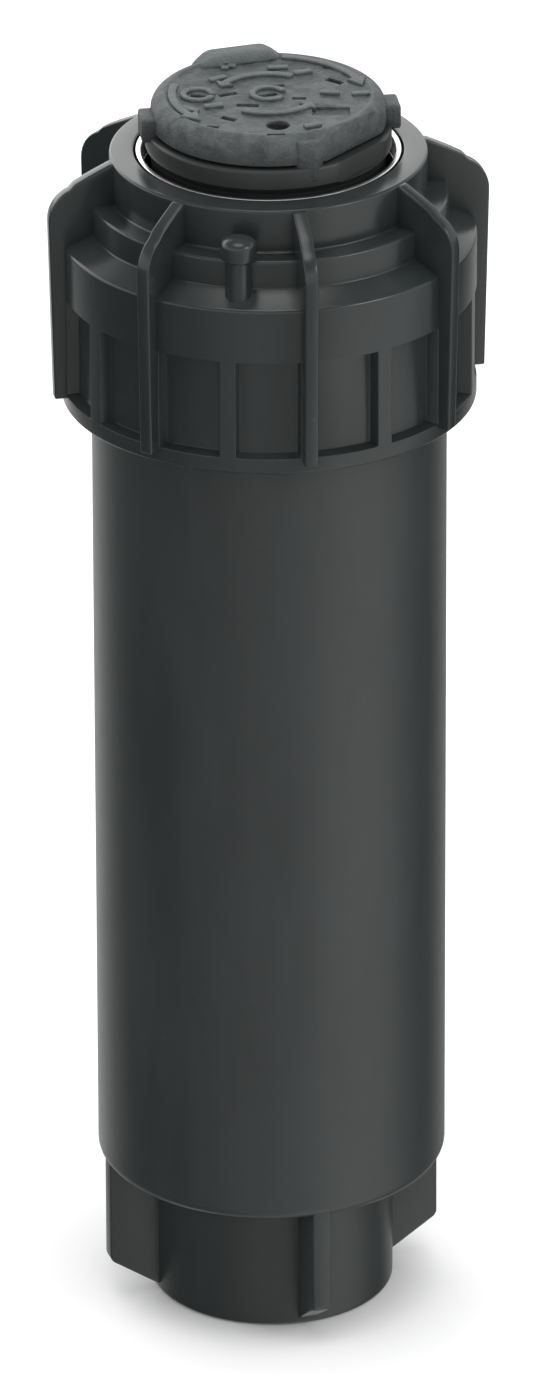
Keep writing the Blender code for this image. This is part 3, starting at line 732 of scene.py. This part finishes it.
# (radius, azimuth, length, width, slant, depth) of its slots
KEY_SLOTS = (
    (0.0, 0.0, 0.0026, 0.0010, 20.0, 0.0009),
    (0.0048, -38.0, 0.0032, 0.0011, -6.0, 0.0009),
    (0.0058, -93.0, 0.0028, 0.0010, 24.0, 0.0007),
    (0.0104, -33.0, 0.0024, 0.0011, -28.0, 0.0009),
    (0.0142, -34.0, 0.0018, 0.0009, -10.0, 0.0007),
    (0.0101, -88.0, 0.0022, 0.0010, -12.0, 0.0009),
    (0.0036, 161.0, 0.0024, 0.0009, 10.0, 0.0006),
    (0.0046, 74.0, 0.0020, 0.0009, 0.0, 0.0006),
    (0.0108, 118.0, 0.0028, 0.0011, -38.0, 0.0009),
    (0.0149, 4.0, 0.0026, 0.0009, 4.0, 0.0007),
    (0.0108, 56.0, 0.0054, 0.0030, 0.0, 0.00035),
)
# (radius, azimuth, length, width, slant) of its raised strokes
STROKES = (
    (0.0090, -60.0, 0.0028, 0.0011, 12.0),
    (0.0126, -62.0, 0.0026, 0.0011, -30.0),
    (0.0094, 148.0, 0.0028, 0.0011, 18.0),
    (0.0098, 172.0, 0.0030, 0.0011, 6.0),
    (0.0122, -150.0, 0.0030, 0.0011, -8.0),
    (0.0122, -150.0, 0.0011, 0.0030, -8.0),
    (0.0092, -128.0, 0.0028, 0.0011, 30.0),
    (0.0134, 28.0, 0.0026, 0.0011, 24.0),
    (0.0088, 92.0, 0.0028, 0.0011, -8.0),
    (0.0132, 90.0, 0.0026, 0.0011, 8.0),
)
# (name, radius, start angle, end angle) of its curved arrows
ARROWS = (
    ("left_arrow", 0.0138, 166, 214),
    ("right_arrow", 0.0138, 82, 24),
    ("inner_arrow", 0.0073, 62, 148),
    ("inner_arrow", 0.0073, 240, 320),
)
ARROW_WIDTH = 0.0012
BAND_WIDTH = 0.0009
# (radius, azimuth) round the cover's corner tip
CORNER = ((0.0160, 13), (0.01705, 14), (0.0181, 22), (0.0168, 28), (0.0157, 24))
LAID_FLAT = Matrix.Rotation(math.radians(-90.0), 4, "X")


def raised_mark(name, outline, place, height=0.0005):
    """A mark with an (across, along) outline, standing a little out of the cover."""
    mark = blade(name, outline, height * 2, place @ LAID_FLAT, rounding=0.0002)
    return smoothed(mark)


def ring_band(radius, width, start, end, count=17):
    """Part of a ring, drawn as (across, along) points."""
    outer = arc(0.0, 0.0, radius + width / 2, start, end, count)
    inner = arc(0.0, 0.0, radius - width / 2, start, end, count)
    return outer + inner[::-1]


def ring_arrow(radius, width, start, end):
    """A curved arrow, drawn as (across, along) points, its head at the end angle."""
    count = 15
    onwards = 12.0 if start < end else -12.0
    wing = width * 1.3
    head = [(radius + wing, end), (radius, end + onwards), (radius - wing, end)]
    band = ring_band(radius, width, start, end, count)
    tip = [(r * math.cos(math.radians(a)), r * math.sin(math.radians(a))) for r, a in head]
    points = band[:count] + tip + band[count:]
    return points if start < end else points[::-1]


def bar(length, width):
    """A plain stroke, drawn as (across, along) points."""
    x, y = length / 2, width / 2
    return [(-x, -y), (x, -y), (x, y), (-x, y)]


def make_cover():
    """The rubber cover: a swelled disc cut off over the jet, with its marks, tabs, lobe and tip."""
    foot, face = cover_low.z, COVER_FACE
    swell = 0.0021
    outline = [(COVER_R, foot + 0.0002)] + arc(COVER_R - swell, foot + 0.0023, swell, 0, 86, 9)
    outline += [(0.0145, face + 0.0001), (0.0142, face), (0.0010, face)]
    outline = outline[::-1] + [(COVER_R - 0.0002, foot), (0.0010, foot)]
    cover = turned("cover_disc", outline, 160, solid=True)
    place = turn(NOZZLE_TURN) @ Matrix.Translation((COVER_CHORD_R + 0.005, 0.0, foot + 0.0020))
    cut(cover, block("jet_notch", (0.0100, 0.0300, 0.0200), place))
    for r, azimuth, size in KEY_HOLES:
        cut(cover, peg("key_hole", size, 0.012, Matrix.Translation(spot(r, azimuth, COVER_TOP)), 32))
    for r, azimuth, length, width, slant, depth in KEY_SLOTS:
        place = Matrix.Translation(spot(r, azimuth, face)) @ Matrix.Rotation(math.radians(slant), 4, "Z")
        cut(cover, block("key_slot", (length, width, depth * 2), place))
    rounded(cover, 0.00025, 2, 40.0)
    smoothed(cover, 40.0)
    on_face = lift(face)
    marks = [raised_mark(name, ring_arrow(r, ARROW_WIDTH, *ends), on_face) for name, r, *ends in ARROWS]
    marks.append(raised_mark("hub_ring", ring_band(0.0023, BAND_WIDTH, 20, 330), on_face))
    place = on_face @ Matrix.Translation(spot(0.0101, -88.0, 0.0))
    marks.append(raised_mark("eye_ring", ring_band(0.0021, BAND_WIDTH, 0, 345), place))
    for r, azimuth, length, width, slant in STROKES:
        place = on_face @ Matrix.Translation(spot(r, azimuth, 0.0))
        place = place @ Matrix.Rotation(math.radians(slant), 4, "Z")
        marks.append(raised_mark("stroke", bar(length, width), place))
    rise = cover_high.z - face + 0.0010
    web = [(-LOBE_HALF_FOOT, 0.0), (-LOBE_HALF_TOP, rise), (LOBE_HALF_TOP, rise), (LOBE_HALF_FOOT, 0.0)]
    place = turn(LOBE_TURN) @ Matrix.Translation((LOBE_R, 0, face - 0.0010))
    place = place @ Matrix.Rotation(math.pi / 2, 4, "Z")
    tabs = [smoothed(blade("lobe", web, LOBE_THICK, place, 0.0012), 50.0)]
    for azimuth, reach in zip((TAB_TURN, TAB_TURN - 180.0), TAB_REACHES):
        place = turn(azimuth) @ Matrix.Translation((reach - TAB_SIZE[0] / 2, 0, foot + 0.0005))
        tabs.append(smoothed(block("tab", TAB_SIZE, place, 0.0004)))
    corner = [spot(r, azimuth, 0.0) for r, azimuth in CORNER]
    tip_foot = foot - CORNER_DROP
    height = COVER_TOP - tip_foot - 0.0006
    place = lift(tip_foot + height / 2) @ LAID_FLAT
    tip = blade("corner_tip", [(p.x, p.y) for p in corner], height, place, 0.0004)
    cover = joined("head_cover", [cover, smoothed(tip)] + tabs + marks)
    fitted(cover, "turret", "grey_rubber", grey_rubber, "rubber_cover")


finish_carried_over_nodes()
make_case()
make_inlet_thread()
make_cap()
make_trim_ring()
make_riser()
make_spring()
make_turret()
make_cover()


# ---- studio ----
# glow of the room by azimuth, 0 at the front and positive to the right: below the horizon, and above
LOW_GLOW = {
    -180: 0.60, -162: 0.95, -143: 0.62, -125: 0.30, -108: 0.03, -72: 0.0, -48: 0.15, -14: 0.45,
    20: 0.50, 46: 1.15, 78: 1.00, 106: 0.20, 126: 0.0, 146: 0.36, 180: 0.60,
}
BAND_GLOW = {
    -180: 2.2, -150: 2.9, -120: 2.2, -80: 1.1, 0: 1.0, 80: 1.0, 120: 0.9, 150: 1.0, 180: 2.1,
}
TOP_GLOW = 0.25
ZENITH_GLOW = 2.6
# where each part of the room begins and ends to blend into the next, by the sine of its height
HORIZON = (-0.06, 0.06)
BAND_END = (0.50, 0.70)
ZENITH_EDGE = (0.93, 0.985)
CAMERA_DISTANCE = 1.732
CAMERA_HEIGHT = 0.9117
CAMERA_TILT = 25.25
CAMERA_ROLL = -0.18
CAMERA_SHIFT_LEFT = 0.0001
LENS = 339.4
SENSOR = 36.0
LAMP_AIM = (0, 0, 0.12)


def make_floor():
    """A pale floor, wide enough to fill the frame."""
    clear_selection()
    bpy.ops.mesh.primitive_circle_add(vertices=96, radius=12.0, fill_type="NGON", location=(0, 0, -0.0001))
    floor = bpy.context.object
    floor.name = "pale_floor"
    finish = Finish("pale_floor")
    finish.set(base_color=(0.90, 0.90, 0.905, 1.0), roughness=0.9)
    floor.data.materials.append(finish.material)
    floor.visible_glossy = False


def self_lit(tree, share, glow_by_angle):
    """The glow round the room; each stop is a share of the brightest, and the ramp is scaled up."""
    most = max(glow_by_angle.values())
    stops = [((angle + 180) / 360.0, (glow / most,) * 3) for angle, glow in glow_by_angle.items()]
    ramp = tree.node("ShaderNodeValToRGB", {"stops": stops}, {"Fac": share})
    return tree.node("ShaderNodeVectorMath", {"operation": "SCALE"}, {0: ramp, "Scale": most})


def make_room():
    """A soft white tent, darker low down on the left and behind on the right."""
    room = bpy.data.worlds.new("tent")
    bpy.context.scene.world = room
    tree = Tree(room)
    way = tree.node("ShaderNodeTexCoord", output="Generated")
    x, y, z = (tree.node("ShaderNodeSeparateXYZ", None, {0: way}, output=i) for i in range(3))
    around_axis = tree.node("ShaderNodeMath", {"operation": "ARCTAN2"}, {0: x, 1: 0.0 - y})
    share = around_axis / (2 * math.pi) + 0.5
    low = self_lit(tree, share, LOW_GLOW)
    band = self_lit(tree, share, BAND_GLOW)
    high = tree.mix(z.between(*BAND_END), band, (TOP_GLOW, TOP_GLOW, TOP_GLOW, 1.0))
    high = tree.mix(z.between(*ZENITH_EDGE), high, (ZENITH_GLOW, ZENITH_GLOW, ZENITH_GLOW, 1.0))
    tint = tree.mix(z.between(*HORIZON), low, high)
    glow = tree.nodes["Background"]
    tree.feed(glow.inputs["Color"], tint)
    glow.inputs["Strength"].default_value = 1.0


def make_lamp(name, where, size, power, reflected=True):
    """A round soft lamp, aimed at the middle of the object."""
    data = bpy.data.lights.new(name, "AREA")
    data.shape = "DISK"
    data.size = size
    data.energy = power
    lamp = bpy.data.objects.new(name, data)
    bpy.context.scene.collection.objects.link(lamp)
    lamp.location = where
    lamp.visible_glossy = reflected
    lamp.rotation_euler = (Vector(LAMP_AIM) - Vector(where)).to_track_quat("-Z", "Y").to_euler()


def make_camera():
    """A long lens, looking down on the object from the front."""
    data = bpy.data.cameras.new("camera")
    data.sensor_width = SENSOR
    data.lens = LENS
    data.clip_start = 0.05
    data.clip_end = 60.0
    camera = bpy.data.objects.new("camera", data)
    bpy.context.scene.collection.objects.link(camera)
    camera.location = (-CAMERA_SHIFT_LEFT, -CAMERA_DISTANCE, CAMERA_HEIGHT)
    tilt = Matrix.Rotation(math.radians(90.0 - CAMERA_TILT), 3, "X")
    roll = Matrix.Rotation(math.radians(CAMERA_ROLL), 3, "Z")
    camera.rotation_euler = (tilt @ roll).to_euler()
    bpy.context.scene.camera = camera


make_floor()
make_room()
make_lamp("right_lamp", (0.9, -0.5, 0.9), 0.5, 3.0)
make_lamp("overhead_lamp", (0.0, 0.0, 3.0), 4.0, 78.0, reflected=False)
make_camera()
bpy.context.scene.view_settings.view_transform = "Standard"
